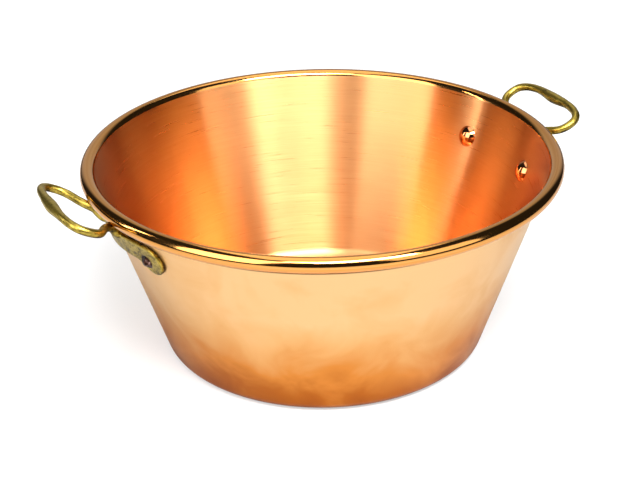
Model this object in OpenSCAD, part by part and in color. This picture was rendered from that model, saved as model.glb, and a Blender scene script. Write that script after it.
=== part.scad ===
// Copper jam pan with a rolled rim and two cast brass handles.
// Millimetres. The origin is the centre of the base, +Z is up, and the handles stand on the X axis.

/* [Pan] */
// Outer diameter over the rolled rim
rim_d = 380; // [330:5:440]
// Height from the underside of the base to the top of the rim
pan_h = 160.5; // [150:0.5:200]
// Diameter of the base, out to the line where base and wall would meet
base_d = 258; // [220:2:290]
// Thickness of the copper sheet
sheet = 1.5; // [1:0.1:2.5]
// Outer radius of the rounded corner between base and wall
corner_r = 12; // [6:1:20]

/* [Rolled rim] */
// Diameter of the steel wire that the rim is rolled round
wire_d = 8.5; // [6:0.5:11]
// Clearance between the wire and the copper round it
wire_clear = 0.1; // [0.05:0.05:0.3]
// Width of the crevice left between the rolled edge and the wall
edge_gap = 0.6; // [0.3:0.1:1.5]

/* [Rivets] */
// Straight distance between the two rivets of one handle
rivet_span = 85; // [70:1:104]
// How far the rivets lie below the top of the rim
rivet_drop = 37; // [34:0.5:44]
// Diameter of a rivet's shank
shank_d = 6; // [4:0.5:8]
// Clearance round the shank, on the radius
shank_clear = 0.1; // [0.05:0.05:0.2]
// Diameter of the polished head inside the bowl
inner_head_d = 18; // [13:0.5:20]
// Height of the polished head
inner_head_h = 5; // [3:0.5:6]
// Diameter of the hammered head on the casting
outer_head_d = 12; // [10:0.5:14]
// Height of the hammered head
outer_head_h = 3.6; // [2:0.2:5]

/* [Handle plate] */
// Thickness of the plate at its ends
plate_t = 3; // [2.4:0.1:4]
// Thickness of the plate between the necks
plate_mid_t = 5.6; // [4.6:0.1:7]
// Radius of the plate's rounded ends
lobe_r = 12.8; // [11:0.2:15]
// How far the centre of a rounded end lies beyond its rivet
lobe_out = 5; // [2:0.5:7]
// How far the centre of a rounded end lies above its rivet
lobe_up = 2.2; // [0:0.2:3]
// Height of the plate between its rounded ends
band_h = 17.6; // [15:0.2:20]
// Radius of the hollow curve between the lower edge and a rounded end
web_r = 14; // [8:1:20]
// Rounding of the plate's outer edge
edge_round = 1.2; // [0.6:0.1:2]
// Depth of the flat facing that seats a hammered head
face_depth = 0.3; // [0.2:0.1:0.6]
// Width of the facing outside the hammered head
face_margin = 0.8; // [0.4:0.1:1.2]
// Gap between the casting and the copper wall
seat_gap = 0.1; // [0.05:0.05:0.2]

/* [Handle loop] */
// Radius of the bar on its arms
bar_r = 3.3; // [2.8:0.1:4]
// How much the bar swells inwards at the middle of the grip
grip_swell = 2.6; // [0:0.2:4]
// Distance along the bar over which the swelling fades out
swell_run = 24; // [14:1:34]
// How far the grip's centreline lies outside the rim's centreline
grip_reach = 38; // [30:1:50]
// Half the width of the loop, to the bar's centreline at its shoulders
shoulder_w = 43; // [38:0.5:50]
// How far the shoulders lie outside the rim's centreline
shoulder_out = 24; // [20:1:28]
// Half the distance between the two necks where they pass under the rim
neck_w = 18.5; // [16:0.5:24]
// Angle at which the loop rises outwards
loop_rise = 26.4; // [15:0.1:35]
// Clearance between the necks and the rim above them
rim_clear = 1; // [0.6:0.1:2]
// How much the necks thicken where they run into the plate
root_flare = 0.8; // [0:0.1:1.2]

/* [Hidden] */
$fn = 96;
round_steps = 360;

copper = "#c8763c";
steel = "#8c8f92";
brass = "#a98a45";

// The rolled rim: a copper tube round the wire, with its centre at rim_c, rim_z
hollow_r = wire_d / 2 + wire_clear;
bead_r = hollow_r + sheet;
rim_c = rim_d / 2 - bead_r;
rim_z = pan_h - bead_r;

// The wall's outer face runs from the base's edge and just touches the hollow of the rim
base_r = base_d / 2;
rise_len = norm([rim_c - base_r, rim_z]);
wall_a = atan2(rim_z, rim_c - base_r) + asin(hollow_r / rise_len);
wall_n = [sin(wall_a), -cos(wall_a)];
flat_r = base_r - corner_r * tan(wall_a / 2);
corner_c = [flat_r, corner_r];
rim_centre = [rim_c, rim_z];
corner_steps = 12;
rim_steps = 48;

// Opening of the rolled edge, as an angle round the rim's centre, from the wall to the edge
roll_gap_a = acos(hollow_r / bead_r) + edge_gap / bead_r * 180 / PI;

// Radius of the wall's outer face at height z
function wall_r(z) = base_r + z / tan(wall_a);

// Angle round the pan that spans an arc along the wall at height z
function arc_a(arc, z) = arc / wall_r(z) * 180 / PI;

rivet_z = pan_h - rivet_drop;
rivet_a = asin(rivet_span / 2 / wall_r(rivet_z));
bore_r = shank_d / 2 + shank_clear;
lobe_z = rivet_z + lobe_up;
lobe_arc = rivet_a / 180 * PI * wall_r(rivet_z) + lobe_out;
head_seat = plate_t + seat_gap - face_depth;

// How far the shank runs on inside each head, so that all three are one solid
shank_in = 0.5;

// The hollow curve touches the band's lower edge at web_arc and the rounded end at touch_arc
band_down = band_h - lobe_r;
web_drop = band_down + web_r;
web_in = sqrt(pow(web_r + lobe_r, 2) - web_drop * web_drop);
web_arc = lobe_arc - web_in;
touch_arc = lobe_arc - web_in * lobe_r / (web_r + lobe_r);
blend_a = acos((lobe_arc - touch_arc) / lobe_r);
tip_a = 174;
band_steps = 8;
web_steps = 5;
lobe_steps = 14;
edge_steps = 4;

// Near the plate's tips the rounding of each edge takes up this share of the height that is left
round_share = 0.45;

// A flat head on the round wall touches at its edge and stands off by this much at its middle
head_sag = inner_head_d * inner_head_d / 8 / wall_r(rivet_z) * sin(wall_a);

function polar(r, a) = r * [cos(a), sin(a)];

// Places children on the wall's outer face with their Z axis along its outward normal
module on_wall(a, z) {
  rotate([0, 0, a])
    translate([wall_r(z), 0, z])
      rotate([0, 180 - wall_a, 0])
        children();
}

// Places a right-hand child on the left when left is true
module at_side(left) {
  rotate([0, 0, left ? 180 : 0])
    children();
}

// Points along an arc, both ends included
function arc(centre, r, from_a, to_a, steps) =
  [for (i = [0 : steps]) centre + polar(r, from_a + (to_a - from_a) * i / steps)];

// Outline of the sheet: out along the base, up the wall, round the wire and all the way back inside
module pan_section() {
  touch_a = wall_a + 90;
  edge_a = touch_a + roll_gap_a - 360;
  polygon(concat(
    [[0, 0]],
    arc(corner_c, corner_r, -90, wall_a - 90, corner_steps),
    arc(rim_centre, hollow_r, touch_a, edge_a, rim_steps),
    arc(rim_centre, bead_r, edge_a, touch_a, rim_steps),
    arc(corner_c, corner_r - sheet, wall_a - 90, -90, corner_steps),
    [[0, sheet]]));
}

// Bowl spun from one copper sheet, its edge rolled round the wire, drilled for the rivets
module pan_body() {
  color(copper)
    difference() {
      rotate_extrude($fn = round_steps)
        pan_section();
      for (side = [0, 180], turn = [-1, 1])
        on_wall(side + turn * rivet_a, rivet_z)
          cylinder(h = 6 * sheet, r = bore_r, center = true);
    }
}

// Steel wire ring closed inside the rolled rim
module rim_wire() {
  color(steel)
    rotate_extrude($fn = round_steps)
      translate(rim_centre)
        circle(d = wire_d);
}

// Upper and lower edge of the plate, as distances from the line through its rounded ends' centres
function round_end(arc) = sqrt(max(0, lobe_r * lobe_r - pow(arc - lobe_arc, 2)));
function top_edge(arc) = arc < lobe_arc ? lobe_r : round_end(arc);
function low_edge(arc) =
  arc < web_arc ? band_down
  : arc < touch_arc ? web_drop - sqrt(web_r * web_r - pow(arc - web_arc, 2))
  : round_end(arc);

// Thickness of the plate, which fades from the necks to the ends and rounds off at the very tip
function plate_depth(arc) =
  let (
    fade = pow(cos(90 * min(1, arc / lobe_arc)), 2),
    tip = max(0, edge_round - (lobe_arc + lobe_r - arc)),
    lost = edge_round - sqrt(max(0, edge_round * edge_round - tip * tip))
  )
  plate_t + (plate_mid_t - plate_t) * fade - lost;

// Point of the plate: arc to the side, up along the wall, and depth out from the wall
function plate_point(arc, up, depth) =
  let (
    z = lobe_z + up * sin(wall_a),
    r = wall_r(z) + (depth + seat_gap) * sin(wall_a),
    a = arc_a(arc, lobe_z)
  )
  [r * cos(a), r * sin(a), z - (depth + seat_gap) * cos(wall_a)];

// Section across the plate: flat on the wall, with both outer edges rounded
function plate_ring(arc) =
  let (
    at = abs(arc),
    top = top_edge(at),
    low = low_edge(at),
    depth = plate_depth(at),
    rounding = min(edge_round, (top + low) * round_share)
  )
  concat(
    [plate_point(arc, -low, 0)],
    [for (i = [0 : edge_steps])
      plate_point(arc, -low + rounding * (1 - cos(90 * i / edge_steps)),
                  depth - edge_round * (1 - sin(90 * i / edge_steps)))],
    [for (i = [edge_steps : -1 : 0])
      plate_point(arc, top - rounding * (1 - cos(90 * i / edge_steps)),
                  depth - edge_round * (1 - sin(90 * i / edge_steps)))],
    [plate_point(arc, top, 0)]);

// Plate lofted through sections from one rounded end to the other
module plate() {
  half = concat(
    [for (i = [0 : band_steps - 1]) web_arc * i / band_steps],
    [for (i = [0 : web_steps - 1]) web_arc + (touch_arc - web_arc) * i / web_steps],
    [for (i = [0 : lobe_steps]) lobe_arc - lobe_r * cos(blend_a + (tip_a - blend_a) * i / lobe_steps)]);
  arcs = concat([for (i = [len(half) - 1 : -1 : 1]) -half[i]], half);
  loft([for (arc = arcs) plate_ring(arc)]);
}

// Point of a cubic curve through a to d at t
function bezier(a, b, c, d, t) =
  pow(1 - t, 3) * a + 3 * pow(1 - t, 2) * t * b + 3 * (1 - t) * t * t * c + pow(t, 3) * d;

// Point of the loop's rising plane, out from the rim's centreline and w to the side
neck_z = rim_z - bead_r - rim_clear - bar_r;
function on_loop(out, w) = [rim_c + out, w, neck_z + out * tan(loop_rise)];

// How full the loop's curves are, as shares of the widths and reaches that they span
grip_full = 0.75;
corner_full = 0.7;
elbow_full = 0.6;
neck_slant = [0.54, 1.5];
neck_full = 0.25;

// Half of the loop's centreline, from the middle of the grip to the neck under the rim
apex = on_loop(grip_reach, 0);
apex_pull = on_loop(grip_reach, grip_full * shoulder_w);
shoulder_pull = on_loop(shoulder_out + corner_full * (grip_reach - shoulder_out), shoulder_w);
shoulder = on_loop(shoulder_out, shoulder_w);
elbow_pull = on_loop((1 - elbow_full) * shoulder_out, shoulder_w);
neck_pull = on_loop(neck_slant[0] * shoulder_out, neck_slant[1] * neck_w);
neck = on_loop(0, neck_w);

// The bar ends inside the plate, covered by at least root_cover on every side
root_cover = 0.15;
root_in = 0.8;
root_w = root_in * neck_w;
root_r = plate_depth(root_w) / 2 - root_cover;
root_low = plate_point(root_w, lobe_r - root_r - edge_round, plate_depth(root_w) / 2);
root_top = plate_point(root_w, lobe_r, plate_depth(root_w) / 2);
root_pull = [(root_top[0] + neck[0]) / 2, root_top[1], root_top[2]];
neck_out = neck + (neck - neck_pull) * neck_full;

grip_steps = 14;
elbow_steps = 16;
root_steps = 5;
half_loop = concat(
  [for (i = [0 : grip_steps - 1]) bezier(apex, apex_pull, shoulder_pull, shoulder, i / grip_steps)],
  [for (i = [0 : elbow_steps - 1]) bezier(shoulder, elbow_pull, neck_pull, neck, i / elbow_steps)],
  [for (i = [0 : root_steps]) bezier(neck, neck_out, root_pull, root_low, i / root_steps)]);
half_n = len(half_loop);
loop_path = concat(
  [for (i = [half_n - 1 : -1 : 1]) [half_loop[i][0], -half_loop[i][1], half_loop[i][2]]], half_loop);

bar_sides = 20;
plane_n = [-sin(loop_rise), 0, cos(loop_rise)];

// The grip swells most on its inner and lower side, at this angle from straight outwards
swell_a = 215;

function unit(v) = v / norm(v);

// Radius of the bar at a step of the half loop, flared where the neck runs into the plate
function step_r(step) =
  let (t = max(0, step - (half_n - 1 - root_steps)) / root_steps)
  bar_r + (root_r - bar_r) * t * t + 4 * root_flare * t * (1 - t);

// One ring of the bar at point i of the path, fatter towards the inside near the middle of the grip
function bar_ring(i) =
  let (
    last = len(loop_path) - 1,
    ahead = unit(loop_path[min(i + 1, last)] - loop_path[max(i - 1, 0)]),
    outward = unit(cross(ahead, plane_n)),
    upward = cross(outward, ahead),
    near = min(1, norm(loop_path[i] - apex) / swell_run),
    swell = grip_swell * pow(cos(90 * near), 2),
    base = step_r(abs(i - half_n + 1))
  )
  [for (k = [0 : bar_sides - 1])
    let (
      a = 360 * k / bar_sides,
      r = base + swell * (1 + cos(a - swell_a)) / 2
    )
    loop_path[i] + r * (cos(a) * outward + sin(a) * upward)];

// Solid through a row of rings with equal numbers of points, closed at both ends
module loft(rings) {
  n = len(rings);
  m = len(rings[0]);
  points = [for (ring = rings) each ring];
  sides = [for (i = [0 : n - 2], k = [0 : m - 1])
    let (j = (k + 1) % m)
    [i * m + k, i * m + j, (i + 1) * m + j, (i + 1) * m + k]];
  first = [for (k = [m - 1 : -1 : 0]) k];
  final = [for (k = [0 : m - 1]) (n - 1) * m + k];
  polyhedron(points, concat(sides, [first, final]));
}

// Bar of the loop, swept from one root through the grip to the other
module loop_bar() {
  loft([for (i = [0 : len(loop_path) - 1]) bar_ring(i)]);
}

// One casting: the loop and its plate, bored and faced for two rivets
module handle() {
  color(brass)
    difference() {
      union() {
        plate();
        loop_bar();
      }
      for (turn = [-1, 1])
        on_wall(turn * rivet_a, rivet_z) {
          cylinder(h = 6 * plate_t, r = bore_r, center = true);
          translate([0, 0, head_seat])
            cylinder(h = 2 * plate_mid_t, r = outer_head_d / 2 + face_margin);
        }
    }
}

module left_handle() {
  at_side(true)
    handle();
}

module right_handle() {
  at_side(false)
    handle();
}

// Domed head with its flat underside on Z = 0
module rivet_head(d, h) {
  ball_r = (d * d / 4 + h * h) / 2 / h;
  rotate_extrude()
    intersection() {
      translate([0, h - ball_r])
        circle(ball_r);
      square([d, h]);
    }
}

// Copper rivet through wall and plate, the large head inside the bowl
module rivet(turn) {
  inner_z = -sheet - head_sag;
  color(copper)
    on_wall(turn * rivet_a, rivet_z) {
      translate([0, 0, inner_z - shank_in])
        cylinder(h = head_seat - inner_z + 2 * shank_in, d = shank_d);
      translate([0, 0, head_seat])
        rivet_head(outer_head_d, outer_head_h);
      translate([0, 0, inner_z])
        mirror([0, 0, 1])
          rivet_head(inner_head_d, inner_head_h);
    }
}

module left_front_rivet() {
  at_side(true)
    rivet(1);
}

module left_rear_rivet() {
  at_side(true)
    rivet(-1);
}

module right_front_rivet() {
  at_side(false)
    rivet(-1);
}

module right_rear_rivet() {
  at_side(false)
    rivet(1);
}

pan_body();
rim_wire();
left_handle();
right_handle();
left_front_rivet();
left_rear_rivet();
right_front_rivet();
right_rear_rivet();
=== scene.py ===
# %% [markdown]
# A copper jam pan, finished as a coppersmith leaves it: spun and brushed inside, satin outside, polished
# on the rim, with cast brass loops that have darkened with age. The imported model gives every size. The
# lesson rebuilds the visible skins finely enough for mirror-like metal, and then gives each its finish.

# %% The frame
import math
import bmesh
import bpy
from mathutils import Matrix, Vector, noise


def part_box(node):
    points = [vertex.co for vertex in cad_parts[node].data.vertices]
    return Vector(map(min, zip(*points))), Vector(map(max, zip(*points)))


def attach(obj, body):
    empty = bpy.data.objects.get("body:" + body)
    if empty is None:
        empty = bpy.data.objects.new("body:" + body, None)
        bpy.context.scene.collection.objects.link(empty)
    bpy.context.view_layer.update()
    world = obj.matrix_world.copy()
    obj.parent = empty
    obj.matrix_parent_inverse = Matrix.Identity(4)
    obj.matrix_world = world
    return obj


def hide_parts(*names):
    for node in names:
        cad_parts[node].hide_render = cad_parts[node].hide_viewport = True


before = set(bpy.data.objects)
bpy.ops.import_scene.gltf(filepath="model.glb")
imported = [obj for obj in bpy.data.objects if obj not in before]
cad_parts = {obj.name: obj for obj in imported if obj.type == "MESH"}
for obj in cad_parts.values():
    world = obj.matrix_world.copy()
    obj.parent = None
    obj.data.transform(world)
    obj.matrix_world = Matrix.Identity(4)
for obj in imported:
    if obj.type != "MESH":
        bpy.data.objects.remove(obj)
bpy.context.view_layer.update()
print("nodes:", sorted(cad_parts))

# %% [markdown]
# Everything is in metres, and a maker thinks in millimetres, so one name turns one into the other.
# Colours are written as the sRGB hex values that a colour picker shows. Shaders work in linear light,
# so one function converts them.

# %% Units and colours
mm = 0.001


def linear(hex_colour):
    """Linear RGBA of an sRGB hex colour such as "#c8763c"."""
    parts = [int(hex_colour[i:i + 2], 16) / 255 for i in (1, 3, 5)]
    return [p / 12.92 if p <= 0.04045 else ((p + 0.055) / 1.055) ** 2.4 for p in parts] + [1.0]


def clamped(value):
    """The value, kept between 0 and 1."""
    return max(0.0, min(1.0, value))


print("copper in linear light:", [round(v, 3) for v in linear("#c8763c")])

# %% [markdown]
# The camera stands to the left of the middle and looks down into the bowl. A long lens from 1.2 m keeps
# the rim's ellipse flat, and it leans by one degree, as in the photograph. A camera can be placed by eye.
# Here its numbers were solved from the rim's ellipse, the base's curve and the handles, so that the pan's
# sizes could be read through it. Azimuths are counted from the camera's side, and the lamps are placed by
# the same rule later.

# %% Camera
view_azimuth = math.radians(-26.6)
view_elevation = math.radians(26.72)
view_distance = 1206.6 * mm
view_target = Vector((-2.57, 0, 81.1)) * mm
lean = math.radians(-0.96)
focal_px = 1482.4
image_width_px = 640
sensor_width = 36

to_pan = Matrix.Rotation(view_azimuth, 4, "Z")


def seen_from_front(azimuth, elevation, distance):
    """Point in the pan's frame at an azimuth right of the camera's side, an elevation and a distance."""
    a, e = math.radians(azimuth), math.radians(elevation)
    out = Vector((math.sin(a) * math.cos(e), -math.cos(a) * math.cos(e), math.sin(e)))
    return to_pan @ (out * distance)


camera = bpy.data.objects.new("camera", bpy.data.cameras.new("camera"))
bpy.context.scene.collection.objects.link(camera)
camera.data.sensor_width = sensor_width
camera.data.lens = sensor_width * focal_px / image_width_px
back = Vector((0, -math.cos(view_elevation), math.sin(view_elevation)))
spot = to_pan @ (view_target + back * view_distance)
turn = (to_pan.to_3x3() @ -back).to_track_quat("-Z", "Y").to_matrix().to_4x4()
camera.matrix_world = Matrix.Translation(spot) @ turn @ Matrix.Rotation(lean, 4, "Z")
bpy.context.scene.camera = camera
print("camera at", [round(v, 3) for v in spot], "lens", round(camera.data.lens, 1))

# %% [markdown]
# The bowl is one sheet of copper. Its section runs out along the base, up the wall, round the wire and
# back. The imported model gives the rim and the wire. The base, its corner and the sheet are the sizes that
# the bowl was drawn with. The wall's line just touches the hollow that holds the wire, so its slope
# follows.

# %% Sizes of the bowl
rim_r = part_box("pan_body")[1].x
pan_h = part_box("pan_body")[1].z
wire_low, wire_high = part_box("rim_wire")
roll_z = (wire_low.z + wire_high.z) / 2
bead_r = pan_h - roll_z
roll_r = rim_r - bead_r
sheet = 1.5 * mm
hollow_r = bead_r - sheet
base_r = 129 * mm
corner_r = 12 * mm
crevice = 0.6 * mm

run = roll_r - base_r
wall_angle = math.atan2(roll_z, run) + math.asin(hollow_r / math.hypot(run, roll_z))
print("rim", round(rim_r / mm, 1), "bead", round(bead_r / mm, 2), "wall", round(math.degrees(wall_angle), 1))


def wall_r(z):
    """Radius of the wall's outer face at height z."""
    return base_r + z / math.tan(wall_angle)


# %% [markdown]
# The bowl could be a thin surface that a modifier thickens, but its rolled edge closes on its own wall,
# where a thickened surface cuts into itself. So the whole section is drawn, as a list of points with the
# finish of the stretch that follows each one. Straight stretches get points too, because a spun wall is
# never quite true, and the light shows it.

# %% Section of the bowl
SATIN, BRUSHED, POLISHED = 0, 1, 2
wall_steps = 48
corner_steps = 14
bead_steps = 72


def arc(centre, r, from_a, to_a, steps):
    """Points along an arc, both ends included, with angles in radians."""
    angles = [from_a + (to_a - from_a) * i / steps for i in range(steps + 1)]
    return [(centre[0] + r * math.cos(a), centre[1] + r * math.sin(a)) for a in angles]


def straight(a, b, steps):
    """Points from a up to, but not including, b."""
    return [(a[0] + (b[0] - a[0]) * i / steps, a[1] + (b[1] - a[1]) * i / steps) for i in range(steps)]


def bowl_section():
    """Closed section of the bowl as ((radius, height), finish) pairs, from the axis and back to it."""
    quarter = math.pi / 2
    corner = (base_r - corner_r * math.tan(wall_angle / 2), corner_r)
    roll = (roll_r, roll_z)
    touch = wall_angle + quarter
    edge = touch + math.acos(hollow_r / bead_r) + crevice / bead_r - 2 * math.pi
    out_corner = arc(corner, corner_r, -quarter, wall_angle - quarter, corner_steps)
    hollow = arc(roll, hollow_r, touch, edge, bead_steps)
    bead = arc(roll, bead_r, edge, touch, bead_steps)
    in_corner = arc(corner, corner_r - sheet, wall_angle - quarter, -quarter, corner_steps)
    runs = [
        (straight((0, 0), out_corner[0], wall_steps // 2), SATIN),
        (out_corner[:-1], SATIN),
        (straight(out_corner[-1], hollow[0], wall_steps), SATIN),
        (hollow, SATIN),
        (bead[:-1], POLISHED),
        (straight(bead[-1], in_corner[0], wall_steps), BRUSHED),
        (in_corner[:-1], BRUSHED),
        (straight(in_corner[-1], (0, sheet), wall_steps // 2), BRUSHED),
        ([(0, sheet)], BRUSHED),
    ]
    return [(point, finish) for points, finish in runs for point in points]


section = bowl_section()
print("section points:", len(section))

# %% [markdown]
# A highlight on real spun copper wavers, because the wall is uneven by a few hundredths of a millimetre
# over a hand's width. A bump in the finish could imitate that, but the mesh itself would stay too true.
# So the wall's points are shifted, by the same amount on both faces, and the sheet keeps its thickness.

# %% Unevenness of the wall
waver = 0.10 * mm
waver_size = 70 * mm


def unevenness(direction, z):
    """Small radial shift of the wall, the same for both faces, fading out at the base and the rim."""
    fade = math.sin(math.pi * clamped(z / roll_z))
    where = (direction * wall_r(z) + Vector((0, 0, z))) / waver_size
    return waver * fade * noise.noise(where)


samples = [unevenness(Vector((1, 0, 0)), pan_h * share) for share in (0.25, 0.5, 0.75)]
print("shift at three heights in mm:", [round(shift / mm, 3) for shift in samples])

# %% [markdown]
# Spinning the section round the axis gives the bowl, as the lathe did. A screw modifier would spin it
# too, but it can't shift the wall or tell each face its finish, so the points and faces are made here.

# %% Spinning a section
spin_steps = 480


def spin(points, finishes, steps, shift=None):
    """Mesh data of a closed section spun round Z: its points, faces and each face's finish."""
    verts, faces, slots, rows = [], [], [], []
    for r, z in points:
        if r == 0:
            rows.append([len(verts)] * steps)
            verts.append(Vector((0, 0, z)))
            continue
        rows.append(range(len(verts), len(verts) + steps))
        for k in range(steps):
            a = 2 * math.pi * k / steps
            direction = Vector((math.cos(a), math.sin(a), 0))
            verts.append(direction * (r + (shift(direction, z) if shift else 0)) + Vector((0, 0, z)))
    for i in range(len(points) - 1):
        low, high = rows[i], rows[i + 1]
        for k in range(steps):
            j = (k + 1) % steps
            ring = [low[k], low[j], high[j], high[k]]
            faces.append(list(dict.fromkeys(ring)))
            slots.append(finishes[i])
    return verts, faces, slots


verts, faces, slots = spin([p for p, _ in section], [f for _, f in section], spin_steps, unevenness)
print("points:", len(verts), "faces:", len(faces))

# %% [markdown]
# Smooth shading hides the facets, but alone it would also melt the crisp edges, such as the end of the
# roll. So an edge stays sharp where its two faces turn by more than 40 degrees.

# %% A piece from points and faces
sharp_turn = math.radians(40)


def new_piece(name, verts, faces, slots=None):
    """Smooth-shaded object with sharp edges where its faces turn by more than sharp_turn."""
    mesh = bpy.data.meshes.new(name)
    mesh.from_pydata([tuple(v) for v in verts], [], faces)
    bm = bmesh.new()
    bm.from_mesh(mesh)
    for face in bm.faces:
        face.smooth = True
    for edge in bm.edges:
        edge.smooth = len(edge.link_faces) == 2 and edge.calc_face_angle(0) < sharp_turn
    bmesh.ops.recalc_face_normals(bm, faces=bm.faces)
    bm.to_mesh(mesh)
    bm.free()
    if slots:
        mesh.polygons.foreach_set("material_index", slots)
    piece = bpy.data.objects.new(name, mesh)
    bpy.context.scene.collection.objects.link(piece)
    return piece


bowl = new_piece("copper_bowl", verts, faces, slots)
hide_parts("pan_body")
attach(bowl, "root")
print("bowl faces:", len(bowl.data.polygons))

# %% [markdown]
# Each handle is one brass casting. Sand casting leaves soft edges, rounded hollows where the necks run
# into the plate, and a skin of small lumps and pits. The loop could be drawn again from curves, but the
# imported solid already has the true form, only with crisp edges. So a copy of it is remeshed finely,
# relaxed until the edges melt, and then given the casting's skin, which fades out against the wall.
#
# Each point also keeps a value for the finish: how much hands and cloths rub it, less in a hollow, minus
# painted shade on an underside, and minus dirt and painted shade in the crevice beside the wall.

# %% Skin of a casting
weld_gap = 0.002 * mm
cast_voxel = 0.55 * mm
relax_steps = 7
lump_size, lump_height = 7 * mm, 0.12 * mm
dent_size, dent_height = 2.6 * mm, 0.06 * mm
dent_offset = Vector((7, 3, 1))
skin_guard, skin_start = 0.8 * mm, 0.2
dirt_and_shade_depth = 2.0 * mm
# Undersides are darkened with painted shade, and the crevice by the wall with dirt and painted shade.
underside_shade, crevice_dirt_and_shade = 1.4, 1.6


def applied(piece, kind, **settings):
    """Adds one modifier to a piece and applies it."""
    step = piece.modifiers.new(kind, kind)
    for key, value in settings.items():
        setattr(step, key, value)
    with bpy.context.temp_override(object=piece, active_object=piece, selected_objects=[piece]):
        bpy.ops.object.modifier_apply(modifier=step.name)


def wall_gap(point):
    """Distance of a point from the wall's outer face."""
    return (math.hypot(point.x, point.y) - wall_r(point.z)) * math.sin(wall_angle)


def give_skin(mesh):
    """Raises the lumps and pits of a casting, and keeps each point's wear, minus painted shade and dirt."""
    normals = [v.normal.copy() for v in mesh.vertices]
    rubbed = mesh.attributes.new("rubbed", "FLOAT", "POINT")
    for v, n in zip(mesh.vertices, normals):
        gap = wall_gap(v.co)
        lump = noise.noise(v.co / lump_size)
        dent = noise.noise(v.co / dent_size + dent_offset)
        # Painted shade on undersides, and dirt with painted shade beside the wall, lower the value.
        dirt_and_shade = underside_shade * max(0.0, -n.z) + crevice_dirt_and_shade * max(0.0, 1 - gap / dirt_and_shade_depth)
        rubbed.data[v.index].value = 0.5 * lump + 0.5 * dent - dirt_and_shade
        rise = (lump_height * lump + dent_height * dent) * clamped(gap / skin_guard - skin_start)
        v.co += n * rise


print("skin of lumps", round(lump_height / mm, 2), "mm and dents", round(dent_height / mm, 2), "mm")

# %% [markdown]
# The two castings come from one pattern, so one function makes both. Its voxels of half a millimetre keep
# the rounded lobes and the flared necks, and welding first closes the seams between the solid's faces.

# %% Handles


def cast_handle(name, solid):
    """Fine skin over one packed handle."""
    piece = bpy.data.objects.new(name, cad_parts[solid].data.copy())
    bpy.context.scene.collection.objects.link(piece)
    applied(piece, "WELD", merge_threshold=weld_gap)
    applied(piece, "REMESH", mode="VOXEL", voxel_size=cast_voxel, use_smooth_shade=True)
    applied(piece, "SMOOTH", factor=0.5, iterations=relax_steps)
    give_skin(piece.data)
    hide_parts(solid)
    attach(piece, "root")
    print(name, "faces:", len(piece.data.polygons))
    return piece


handles = [cast_handle(side + "_casting", side + "_handle") for side in ("left", "right")]

# %% [markdown]
# A copper rivet has a large dome inside the bowl, which is set in a polished tool, and a smaller head on
# the casting, which is closed with a hammer. A squashed sphere would do for a dome, but its edge would
# meet the metal at the wrong angle. So each head is a cap of a ball, worked out from its width and height,
# and the outer one sits in the flat facing of the casting.

# %% Heads of a rivet
rivet_span = 85 * mm
rivet_drop = 37 * mm
shank_r = 3 * mm
inner_head = (18 * mm, 5 * mm)
outer_head = (12 * mm, 3.6 * mm)
plate_mm, seat_gap_mm, facing_mm = 3, 0.1, 0.3
seat = (plate_mm + seat_gap_mm - facing_mm) * mm
DOMED, HAMMERED = 0, 1
dome_steps = 14
rivet_steps = 64


def dome(head):
    """Section of a domed head from its edge to its top, as (radius, height above its seat)."""
    width, height = head
    ball = (width * width / 4 + height * height) / 2 / height
    reach = math.asin(width / 2 / ball)
    angles = [reach * (1 - i / dome_steps) for i in range(dome_steps + 1)]
    return [(ball * math.sin(a), ball * math.cos(a) - ball + height) for a in angles]


print("outer head seated", round(seat / mm, 2), "mm outside the wall")

# %% [markdown]
# The hammered head could be sculpted, but a blow is a simple thing: a plane that flattens whatever stands
# above it. So a point above a blow's plane drops back to it. The same six blows serve all four rivets,
# turned another way on each, and the head's thin edge is spared.

# %% Hammer blows
blows = [(0, 0, 3.25), (38, 20, 3.3), (35, 95, 3.35), (40, 170, 3.3), (36, 245, 3.4), (41, 310, 3.3)]
hand_turn, side_turn = 50, 20
edge_kept = 0.4 * mm


def hammer(verts, turned_by):
    """Flattens the outer head by planes given as lean and turn in degrees and height over the seat in mm."""
    for lean_deg, turn_deg, height_mm in blows:
        lean_a, turn_a = math.radians(lean_deg), math.radians(turn_deg + turned_by)
        sideways = math.sin(lean_a)
        n = Vector((sideways * math.cos(turn_a), sideways * math.sin(turn_a), math.cos(lean_a)))
        for v in verts:
            over = n.dot(v - Vector((0, 0, seat))) - height_mm * mm
            if v.z > seat + edge_kept and over > 0:
                v -= n * over


print("blows on each head:", len(blows))

# %% [markdown]
# The section of dome, shank and head is spun like the bowl's, then stood on the wall's slope and turned
# to its place round the bowl. The wall curves under the dome by a fifth of a millimetre, so the dome
# stands off by that much and its flat edge rests on the copper.

# %% Rivets


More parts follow.
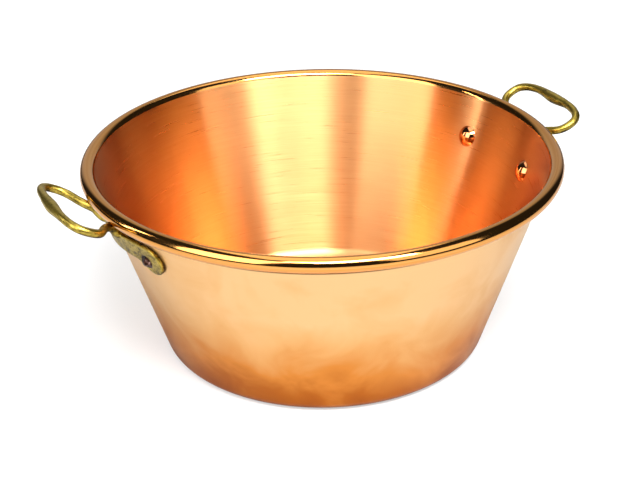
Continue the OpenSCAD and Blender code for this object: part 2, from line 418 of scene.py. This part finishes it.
def rivet(name, solid, side, hand):
    """One set rivet, hammered outside and polished inside."""
    z = pan_h - rivet_drop
    azimuth = math.pi * (side < 0) + hand * math.asin(rivet_span / 2 / wall_r(z))
    sag = inner_head[0] ** 2 / 8 / wall_r(z) * math.sin(wall_angle)
    inner_seat = -sheet - sag
    inside = [(r, inner_seat - h) for r, h in reversed(dome(inner_head))]
    outside = [(r, seat + h) for r, h in dome(outer_head)]
    points = inside + [(shank_r, inner_seat), (shank_r, seat)] + outside
    points[0], points[-1] = (0, points[0][1]), (0, points[-1][1])
    finishes = [DOMED] * (len(inside) + 1) + [HAMMERED] * len(outside)
    verts, faces, slots = spin(points, finishes, rivet_steps)
    hammer(verts, hand_turn * hand + side_turn * side)
    piece = new_piece(name, verts, faces, slots)
    place = (Matrix.Rotation(azimuth, 4, "Z") @ Matrix.Translation((wall_r(z), 0, z))
             @ Matrix.Rotation(math.pi - wall_angle, 4, "Y"))
    piece.data.transform(place)
    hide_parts(solid)
    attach(piece, "root")
    low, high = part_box(solid)
    lowest_x = min(v.co.x for v in piece.data.vertices)
    highest_z = max(v.co.z for v in piece.data.vertices)
    drift = max(abs(lowest_x - low.x), abs(highest_z - high.z))
    print(name, "off the packed rivet by", round(drift / mm, 2), "mm")
    return piece


rivets = [
    rivet("left_front_rivet_skin", "left_front_rivet", -1, 1),
    rivet("left_rear_rivet_skin", "left_rear_rivet", -1, -1),
    rivet("right_front_rivet_skin", "right_front_rivet", 1, -1),
    rivet("right_rear_rivet_skin", "right_rear_rivet", 1, 1),
]

# %% [markdown]
# A material is a small graph of nodes, which is often wired by hand in the editor. In a script, one
# function that adds a node with its settings and its links keeps every finish readable from top to
# bottom. Outputs go by name, apart from a mix node's: they all share one name, and its colour is the
# third of them.

# %% Adding a node
mixed_colour = 2


def node(tree, kind, *values, out=0, stops=(), **named):
    """Adds a node and returns one of its outputs, or the node itself where it has none.

    Plain values fill the inputs in order. A name in small letters sets a property, and a name with a
    capital fills an input. A value may be another node's output. Stops are the colours of a ramp.
    """
    made = tree.nodes.new(kind)
    fills = list(zip(made.inputs, values))
    for key, value in named.items():
        if key[0].islower():
            setattr(made, key, value)
            continue
        name = key.replace("_", " ")
        matches = [s for s in made.inputs if name in (s.name, s.identifier.replace("_", " "))]
        fills.append((matches[0], value))
    for socket, value in fills:
        if isinstance(value, bpy.types.NodeSocket):
            tree.links.new(value, socket)
        else:
            socket.default_value = value
    for i, (position, colour) in enumerate(stops):
        points = made.color_ramp.elements
        point = points[i] if i < len(points) else points.new(position)
        point.position, point.color = position, linear(colour)
    return made.outputs[out] if len(made.outputs) else made


def new_material(name):
    """Empty node material and its tree."""
    material = bpy.data.materials.new(name)
    material.use_nodes = True
    material.node_tree.nodes.clear()
    return material, material.node_tree


print("every finish starts with", new_material.__name__, "and grows by", node.__name__)

# %% [markdown]
# A lathe, a cloth and a die all leave marks that run round the axis. A ring texture would draw them, but
# it closes every ring. A plain noise draws marks that start and end, once its coordinates are slow round
# the axis and fast along the section. Noise seldom leaves the values from 0.3 to 0.7, so the ramps and
# ranges below start and end there.

# %% Coordinates of turned marks


def turned_coordinates(tree, around, along):
    """Coordinates that are slow round the axis and fast along the section, and the height."""
    where = node(tree, "ShaderNodeTexCoord", out="Object")
    x, y, z = node(tree, "ShaderNodeSeparateXYZ", where).node.outputs
    flat = node(tree, "ShaderNodeCombineXYZ", x, y)
    radius = node(tree, "ShaderNodeVectorMath", flat, operation="LENGTH", out="Value")
    track = node(tree, "ShaderNodeMath", z, radius, operation="ADD")
    fast = node(tree, "ShaderNodeMath", track, 1 / along, operation="MULTIPLY")
    slow_x = node(tree, "ShaderNodeMath", x, 1 / around, operation="MULTIPLY")
    slow_y = node(tree, "ShaderNodeMath", y, 1 / around, operation="MULTIPLY")
    return node(tree, "ShaderNodeCombineXYZ", slow_x, slow_y, fast), z


print("marks are drawn by", turned_coordinates.__name__)

# %% [markdown]
# Inside, the bowl is unlined copper brushed on the lathe: fine rings that smear every reflection up and
# down the wall. The marks could be cut into the mesh, but they are far finer than its faces. So the
# shader does the smearing, with anisotropy across the rings, and a noise that is slow round the bowl and
# fast up the wall draws them. Real rings lie a few tenths of a millimetre apart. These are drawn 1.1 mm
# apart and broken shorter, so that they show in the render.

# %% Brushed copper
ring_gap = 1.1 * mm
ring_length = 50 * mm
ring_share = 0.45
clouds_per_metre = 9.0
cloud_share = 0.55
copper_tones = [(0.30, "#dc9a61"), (0.50, "#e2a46b"), (0.70, "#e8ae75")]


def brushed_copper():
    """Unlined copper, brushed in rings on a lathe."""
    material, tree = new_material("brushed_copper")
    rings_at, _ = turned_coordinates(tree, ring_length, ring_gap)
    rings = node(tree, "ShaderNodeTexNoise", Vector=rings_at, Scale=1.0, Detail=3.0, Roughness=0.6)
    where = node(tree, "ShaderNodeTexCoord", out="Object")
    cloud = node(tree, "ShaderNodeTexNoise", Vector=where, Scale=clouds_per_metre, Detail=3.0,
                 Roughness=0.55)
    some_rings = node(tree, "ShaderNodeMath", rings, ring_share, operation="MULTIPLY")
    some_cloud = node(tree, "ShaderNodeMath", cloud, cloud_share, operation="MULTIPLY")
    tone = node(tree, "ShaderNodeMath", some_rings, some_cloud, operation="ADD")
    colour = node(tree, "ShaderNodeValToRGB", tone, stops=copper_tones)
    rough = node(tree, "ShaderNodeMapRange", rings, From_Min=0.3, From_Max=0.7, To_Min=0.27, To_Max=0.33)
    bump = node(tree, "ShaderNodeBump", Strength=0.12, Distance=0.02 * mm, Height=rings)
    around = node(tree, "ShaderNodeTangent", direction_type="RADIAL", axis="Z")
    metal = node(tree, "ShaderNodeBsdfPrincipled", Base_Color=colour, Metallic=1.0, Roughness=rough,
                 Anisotropic=1.0, Anisotropic_Rotation=0.25, Tangent=around, Normal=bump)
    node(tree, "ShaderNodeOutputMaterial", Surface=metal)
    return material


inside_finish = brushed_copper()
print("inside:", inside_finish.name, "with rings", round(ring_gap / mm, 1), "mm apart")

# %% [markdown]
# Outside, the same copper is only satin. It was wiped, not brushed, so light spreads evenly, and years of
# gas flames have left it browner towards the base, in soft clouds a few centimetres wide. A painted
# picture could show them, but a noise added to the height gives the same clouds with no seam, and a ramp
# turns the sum into copper from burnt to clean. A dark line is painted on the wall just under the rolled
# rim: partly old polish dried in the crevice, and partly painted shade under the rim. Wiping leaves faint
# rings, which are drawn 1.4 mm apart so that they show.

# %% Satin copper
wipe_gap = 1.4 * mm
wipe_length = 220 * mm
cloud_size = 45 * mm
browned_up_to = 95 * mm
cloud_weight, cloud_offset = 0.7, 0.35
burnt_to_clean = [(0.0, "#ab5c1c"), (0.14, "#b8681f"), (0.36, "#d98c3c"), (0.75, "#eab676"),
                  (1.0, "#f2c58c")]
# Dark band under the rolled rim: dried polish, and painted shade under the rim.
residue_and_shade_from, residue_and_shade_full = 142.2 * mm, 143.4 * mm
residue_and_shade_colour = linear("#4a2810")


def satin_copper():
    """Copper wiped to a satin, with flame-browned clouds that deepen towards the base."""
    material, tree = new_material("satin_copper")
    rings_at, z = turned_coordinates(tree, wipe_length, wipe_gap)
    rings = node(tree, "ShaderNodeTexNoise", Vector=rings_at, Scale=1.0, Detail=2.0, Roughness=0.5)
    where = node(tree, "ShaderNodeTexCoord", out="Object")
    cloud = node(tree, "ShaderNodeTexNoise", Vector=where, Scale=1 / cloud_size, Detail=3.0, Roughness=0.5,
                 Distortion=0.6)
    height = node(tree, "ShaderNodeMapRange", z, From_Min=0.0, From_Max=browned_up_to,
                  To_Min=0.0, To_Max=1.0)
    stirred = node(tree, "ShaderNodeMath", cloud, cloud_weight, height, operation="MULTIPLY_ADD")
    cleanness = node(tree, "ShaderNodeMath", stirred, cloud_offset, operation="SUBTRACT")
    copper = node(tree, "ShaderNodeValToRGB", cleanness, stops=burnt_to_clean)
    residue_and_shade = node(tree, "ShaderNodeMapRange", z, From_Min=residue_and_shade_from, From_Max=residue_and_shade_full,
                 To_Min=0.0, To_Max=1.0)
    colour = node(tree, "ShaderNodeMix", residue_and_shade, data_type="RGBA", A_Color=copper, B_Color=residue_and_shade_colour,
                  out=mixed_colour)
    rough = node(tree, "ShaderNodeMapRange", cloud, From_Min=0.3, From_Max=0.7, To_Min=0.40, To_Max=0.32)
    bump = node(tree, "ShaderNodeBump", Strength=0.15, Distance=0.02 * mm, Height=rings)
    around = node(tree, "ShaderNodeTangent", direction_type="RADIAL", axis="Z")
    metal = node(tree, "ShaderNodeBsdfPrincipled", Base_Color=colour, Metallic=1.0, Roughness=rough,
                 Anisotropic=0.4, Anisotropic_Rotation=0.25, Tangent=around, Normal=bump)
    node(tree, "ShaderNodeOutputMaterial", Surface=metal)
    return material


outside_finish = satin_copper()
print("outside:", outside_finish.name, "browned up to", round(browned_up_to / mm), "mm")

# %% [markdown]
# Hands, cloths and spoons rub the rolled rim all the time, so it is the brightest part, almost a mirror.
# One even gloss would look like lacquer, so faint marks along the rim vary its gloss and its colour a
# little. They are drawn 1.1 mm apart, coarser than the scratches of a cloth, so that they show.

# %% Polished copper
rub_gap = 1.1 * mm
rub_length = 300 * mm


def polished_copper():
    """Copper of the rolled rim, rubbed nearly to a mirror."""
    material, tree = new_material("polished_copper")
    marks_at, _ = turned_coordinates(tree, rub_length, rub_gap)
    marks = node(tree, "ShaderNodeTexNoise", Vector=marks_at, Scale=1.0, Detail=2.0, Roughness=0.5)
    colour = node(tree, "ShaderNodeValToRGB", marks, stops=[(0.3, "#e09a4c"), (0.7, "#ecab60")])
    rough = node(tree, "ShaderNodeMapRange", marks, From_Min=0.3, From_Max=0.7, To_Min=0.07, To_Max=0.14)
    metal = node(tree, "ShaderNodeBsdfPrincipled", Base_Color=colour, Metallic=1.0, Roughness=rough)
    node(tree, "ShaderNodeOutputMaterial", Surface=metal)
    return material


finish_of = {SATIN: outside_finish, BRUSHED: inside_finish, POLISHED: polished_copper()}
for index in sorted(finish_of):
    bowl.data.materials.append(finish_of[index])
print("bowl finishes:", [m.name for m in bowl.data.materials])

# %% [markdown]
# Cast brass is duller and greener than sheet. Age has left dark oxide in its pits, and dirt in the crevice
# beside the wall, while the ridges that hands and cloths reach stay bright. Undersides and that crevice are
# darkened further with painted shade. A mask could be painted by hand. Here the casting has already kept
# each point's wear and painted shade, and a fine and a broad noise break that up. The fine one is drawn at
# 1.4 mm, coarser than moulding sand, so that it shows.

# %% Aged cast brass
grain_size, patch_size = 1.4 * mm, 9 * mm
wear_and_shade_weight, patch_weight = 0.40, 0.3
dark_level, bright_level = 0.20, 1.05
# The dark end of this ramp is oxide in the pits, and painted shade underneath and by the wall.
oxide_and_shade_to_brass = [(0.0, "#2a2010"), (0.20, "#7d6a2e"), (0.45, "#b29a42"), (1.0, "#dabb5a")]


def aged_brass():
    """Sand-cast brass, dark with age in its pits, bright on ridges, painted shade underneath and by the
    wall.
    """
    material, tree = new_material("aged_cast_brass")
    where = node(tree, "ShaderNodeTexCoord", out="Object")
    rubbed = node(tree, "ShaderNodeAttribute", attribute_name="rubbed", out="Fac")
    grain = node(tree, "ShaderNodeTexNoise", Vector=where, Scale=1 / grain_size, Detail=5.0, Roughness=0.65)
    patch = node(tree, "ShaderNodeTexNoise", Vector=where, Scale=1 / patch_size, Detail=2.0, Roughness=0.5)
    # The attribute already holds the painted shade of undersides and of the crevice by the wall.
    wear_and_shade_sum = node(tree, "ShaderNodeMath", rubbed, wear_and_shade_weight, grain, operation="MULTIPLY_ADD")
    wear_and_shade_uneven = node(tree, "ShaderNodeMath", patch, patch_weight, wear_and_shade_sum, operation="MULTIPLY_ADD")
    bright = node(tree, "ShaderNodeMapRange", wear_and_shade_uneven, From_Min=dark_level, From_Max=bright_level,
                  To_Min=0.0, To_Max=1.0)
    colour = node(tree, "ShaderNodeValToRGB", bright, stops=oxide_and_shade_to_brass)
    rough = node(tree, "ShaderNodeMapRange", bright, From_Min=0.0, From_Max=1.0, To_Min=0.45, To_Max=0.24)
    bump = node(tree, "ShaderNodeBump", Strength=0.35, Distance=0.10 * mm, Height=grain)
    metal = node(tree, "ShaderNodeBsdfPrincipled", Base_Color=colour, Metallic=1.0, Roughness=rough,
                 Normal=bump)
    node(tree, "ShaderNodeOutputMaterial", Surface=metal)
    return material


brass = aged_brass()
for handle in handles:
    handle.data.materials.clear()
    handle.data.materials.append(brass)
print("handles in", brass.name)

# %% [markdown]
# The rivets are copper too, and their inner domes are polished by the setting tool. One material with a
# mask could serve both ends of a rivet, but two plain ones are easier to read, and the faces already
# know which end they are on. The dome is pinker than the rolled rim, and its gloss varies in small clouds.

# %% Polished rivet copper
dome_cloud_size = 3 * mm


def dome_copper():
    """Polished dome of a rivet."""
    material, tree = new_material("polished_rivet_copper")
    where = node(tree, "ShaderNodeTexCoord", out="Object")
    cloud = node(tree, "ShaderNodeTexNoise", Vector=where, Scale=1 / dome_cloud_size, Detail=2.0,
                 Roughness=0.5)
    colour = node(tree, "ShaderNodeValToRGB", cloud, stops=[(0.3, "#e08a55"), (0.7, "#efa36b")])
    rough = node(tree, "ShaderNodeMapRange", cloud, From_Min=0.3, From_Max=0.7, To_Min=0.06, To_Max=0.13)
    metal = node(tree, "ShaderNodeBsdfPrincipled", Base_Color=colour, Metallic=1.0, Roughness=rough)
    node(tree, "ShaderNodeOutputMaterial", Surface=metal)
    return material


dome_finish = dome_copper()
print("domes in", dome_finish.name)

# %% [markdown]
# The outer heads are nearly black: partly oxide, because no tool polished them, and partly painted shade
# of the recess round each head. A little pink copper shows where a cloth has caught the hammer's facets.
# The facets could be picked out by their angle, but on a real head the bare patches are as scattered as a
# noise, so a noise places them.

# %% Hammered rivet copper
oxide_and_shade_cloud_size = 2.2 * mm
# The dark stops stand for oxide and for painted shade of the recess round the head.
oxide_and_shade_to_copper = [(0.35, "#1c110d"), (0.56, "#4e332a"), (0.72, "#b69084")]


def hammered_copper():
    """Hammered head of a rivet, dark with oxide and with painted shade."""
    material, tree = new_material("hammered_rivet_copper")
    where = node(tree, "ShaderNodeTexCoord", out="Object")
    cloud = node(tree, "ShaderNodeTexNoise", Vector=where, Scale=1 / oxide_and_shade_cloud_size, Detail=4.0,
                 Roughness=0.6)
    colour = node(tree, "ShaderNodeValToRGB", cloud, stops=oxide_and_shade_to_copper)
    rough = node(tree, "ShaderNodeMapRange", cloud, From_Min=0.3, From_Max=0.7, To_Min=0.40, To_Max=0.22)
    bump = node(tree, "ShaderNodeBump", Strength=0.4, Distance=0.08 * mm, Height=cloud)
    metal = node(tree, "ShaderNodeBsdfPrincipled", Base_Color=colour, Metallic=1.0, Roughness=rough,
                 Normal=bump)
    node(tree, "ShaderNodeOutputMaterial", Surface=metal)
    return material


rivet_finish_of = {DOMED: dome_finish, HAMMERED: hammered_copper()}
for piece in rivets:
    for index in sorted(rivet_finish_of):
        piece.data.materials.append(rivet_finish_of[index])
print("rivet finishes:", [m.name for m in rivets[0].data.materials])

# %% [markdown]
# The wire inside the rim is drawn steel. Nobody sees it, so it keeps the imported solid's own mesh, and it
# still gets its finish: grey steel with faint lengthwise marks from the die that it was pulled through,
# drawn half a millimetre apart.

# %% Drawn steel
die_mark_gap = 0.5 * mm
die_mark_length = 90 * mm


def drawn_steel():
    """Drawn steel wire with faint lengthwise marks."""
    material, tree = new_material("drawn_steel")
    marks_at, _ = turned_coordinates(tree, die_mark_length, die_mark_gap)
    marks = node(tree, "ShaderNodeTexNoise", Vector=marks_at, Scale=1.0, Detail=2.0, Roughness=0.5)
    colour = node(tree, "ShaderNodeValToRGB", marks, stops=[(0.3, "#8f9295"), (0.7, "#b4b7ba")])
    rough = node(tree, "ShaderNodeMapRange", marks, From_Min=0.3, From_Max=0.7, To_Min=0.30, To_Max=0.42)
    metal = node(tree, "ShaderNodeBsdfPrincipled", Base_Color=colour, Metallic=1.0, Roughness=rough)
    node(tree, "ShaderNodeOutputMaterial", Surface=metal)
    return material


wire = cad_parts["rim_wire"]
wire.data.materials.clear()
wire.data.materials.append(drawn_steel())
print("wire in", wire.data.materials[0].name)

# %% [markdown]
# A metal shows its surroundings, so the studio matters as much as the metal. The pan stands on white
# paper. Stronger lamps could make the paper white, but they would burn the copper out. So a glow that
# only the camera sees lifts it, and it rises further out, where the lamps give less. The shadow under the
# pan stays. In the metal's reflections the paper fades about a metre out, where a dark room begins.

# %% Floor
floor_half = 6.0
paper_edge = 0.85
paper_fade = 0.35
near_glow, far_glow = 0.50, 0.95
paper_white, paper_dark = linear("#bebebe"), linear("#2a2a2a")


def floor_white():
    """Matt white paper that shows as white, takes a soft shadow, and looks darker to metal further out."""
    material, tree = new_material("white_sweep")
    to_camera = node(tree, "ShaderNodeLightPath", out="Is Camera Ray")
    to_metal = to_camera.node.outputs["Is Glossy Ray"]
    where = node(tree, "ShaderNodeTexCoord", out="Object")
    reach = node(tree, "ShaderNodeVectorMath", where, operation="LENGTH", out="Value")
    far = node(tree, "ShaderNodeMapRange", reach, From_Min=paper_edge, From_Max=paper_edge + paper_fade,
               To_Min=0.0, To_Max=1.0)
    hidden = node(tree, "ShaderNodeMath", far, to_metal, operation="MULTIPLY")
    colour = node(tree, "ShaderNodeMix", hidden, data_type="RGBA", A_Color=paper_white, B_Color=paper_dark,
                  out=mixed_colour)
    matt = node(tree, "ShaderNodeBsdfDiffuse", Color=colour)
    glow = node(tree, "ShaderNodeMapRange", far, From_Min=0.0, From_Max=1.0,
                To_Min=near_glow, To_Max=far_glow)
    seen = node(tree, "ShaderNodeMath", to_camera, glow, operation="MULTIPLY")
    white = node(tree, "ShaderNodeEmission", Color=linear("#ffffff"), Strength=seen)
    node(tree, "ShaderNodeOutputMaterial", Surface=node(tree, "ShaderNodeAddShader", matt, white))
    return material


corners = [Vector((x, y, 0)) for x, y in ((-1, -1), (1, -1), (1, 1), (-1, 1))]
floor = new_piece("white_floor", [c * floor_half for c in corners], [[0, 1, 2, 3]])
floor.data.materials.append(floor_white())
print("floor", 2 * floor_half, "m across")

# %% [markdown]
# The air is white to the camera. To everything else it is a dark room, with a white sweep standing up
# behind the pan, and the two together give polished copper its black line beside a bright one. The sweep
# could be a mesh, but a world needs no more than an angle: how far a direction lies from the sweep's
# middle tells whether it meets the sweep or the room.

# %% Surroundings
room_glow = 0.02
sweep_glow = 0.5
sweep_azimuth, sweep_elevation = 180, 12
sweep_full, sweep_end = math.radians(24), math.radians(42)


def studio_air():
    """World that is white to the camera, and a dark room with a white sweep behind the pan to the rest."""
    world = bpy.data.worlds.new("studio_air")
    world.use_nodes = True
    tree = world.node_tree
    tree.nodes.clear()
    to_camera = node(tree, "ShaderNodeLightPath", out="Is Camera Ray")
    direction = node(tree, "ShaderNodeTexCoord", out="Generated")
    middle = seen_from_front(sweep_azimuth, sweep_elevation, 1)
    facing = node(tree, "ShaderNodeVectorMath", direction, middle, operation="DOT_PRODUCT", out="Value")
    glow = node(tree, "ShaderNodeMapRange", facing, interpolation_type="SMOOTHSTEP",
                From_Min=math.cos(sweep_end), From_Max=math.cos(sweep_full),
                To_Min=room_glow, To_Max=sweep_glow)
    room = node(tree, "ShaderNodeBackground", Color=linear("#ffffff"), Strength=glow)
    white = node(tree, "ShaderNodeBackground", Color=linear("#ffffff"), Strength=1.0)
    both = node(tree, "ShaderNodeMixShader", to_camera, room, white)
    node(tree, "ShaderNodeOutputWorld", Surface=both)
    return world


bpy.context.scene.world = studio_air()
bpy.context.scene.view_settings.view_transform = "Standard"
print("room", room_glow, "sweep", sweep_glow)

# %% [markdown]
# Soft lamps make the light. A high one to the right of the camera gives the broad highlight in the bowl,
# and a weaker one beside it draws that highlight out to the right. Lower ones at both sides give the gold
# on either side of it, a narrow one at the left gives the thin streak by the rivets, and one overhead, a
# little behind, lights the top of the rim. A lamp can be placed by eye. Here each is given by the window of
# directions that it fills, as seen from the pan, and by its radiance, so that it can move further away
# and keep its look.

# %% Lamps
lamp_distance = 1.8


def softbox(name, left, right, low, high, radiance):
    """Lamp that fills the window between two azimuths and two elevations, in degrees seen from the pan."""
    azimuth, elevation = (left + right) / 2, (low + high) / 2
    half_width, half_height = math.radians(right - left) / 2, math.radians(high - low) / 2
    lamp = bpy.data.lights.new(name, "AREA")
    lamp.shape = "RECTANGLE"
    lamp.size = 2 * lamp_distance * math.tan(half_width) * math.cos(math.radians(elevation))
    lamp.size_y = 2 * lamp_distance * math.tan(half_height)
    lamp.energy = radiance * math.pi * lamp.size * lamp.size_y
    placed = bpy.data.objects.new(name, lamp)
    aim = Vector((0, 0, pan_h / 2))
    spot_at = aim + seen_from_front(azimuth, elevation, lamp_distance)
    turned = (aim - spot_at).to_track_quat("-Z", "Y").to_matrix().to_4x4()
    placed.matrix_world = Matrix.Translation(spot_at) @ turned
    placed.visible_camera = False
    bpy.context.scene.collection.objects.link(placed)
    print(name, round(lamp.size, 2), "by", round(lamp.size_y, 2), "m at", [round(v, 2) for v in spot_at])


softbox("key_lamp", -8, 52, 47, 66, 26.0)
softbox("fill_lamp", -23, -8, 47, 66, 7.0)
softbox("right_lamp", 27, 73, 10, 50, 1.5)
softbox("left_lamp", -68, -23, 8, 56, 3.8)
softbox("streak_lamp", -96, -94, 8, 40, 18.0)
softbox("top_lamp", 125, 235, 50, 106, 1.5)
